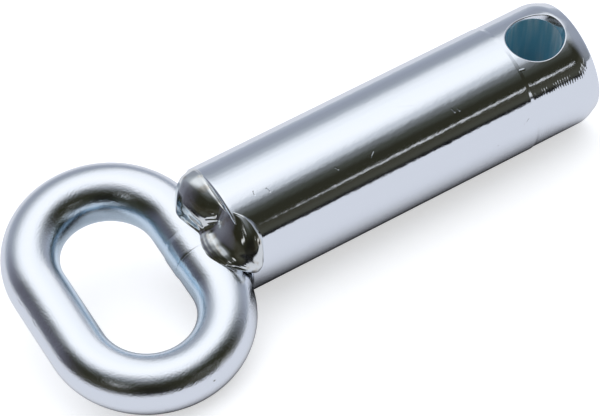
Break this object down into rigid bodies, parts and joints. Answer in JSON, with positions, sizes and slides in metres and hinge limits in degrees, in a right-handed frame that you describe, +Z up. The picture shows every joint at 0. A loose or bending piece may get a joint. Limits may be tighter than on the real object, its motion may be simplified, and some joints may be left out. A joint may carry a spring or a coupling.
{
  "type": "pivot pin",
  "caption": "Round clevis pin with a countersunk cross hole near its chamfered end and a closed oval chain link welded to the other end as a pull handle.",
  "frame": {"origin": "centre of the cross hole, on the shank's axis", "axes": "+X along the shank towards its free end, +Z up with the pin lying on its shank and on one end of its link; the cross hole runs along the link's normal, which leans 17.74 degrees from +Z towards -Y"},
  "size_m": [0.1392, 0.062, 0.0304],
  "materials": {
    "zinc_plated_steel": "bright zinc plate over drawn bar, semi-gloss",
    "plated_weld": "bright zinc plate over as-laid weld metal, glossy and rippled"
  },
  "bodies": {
    "root": {"pin_shank": "zinc_plated_steel", "link_handle": "zinc_plated_steel", "weld_front": "plated_weld", "weld_back": "plated_weld"}
  },
  "joints": []
}
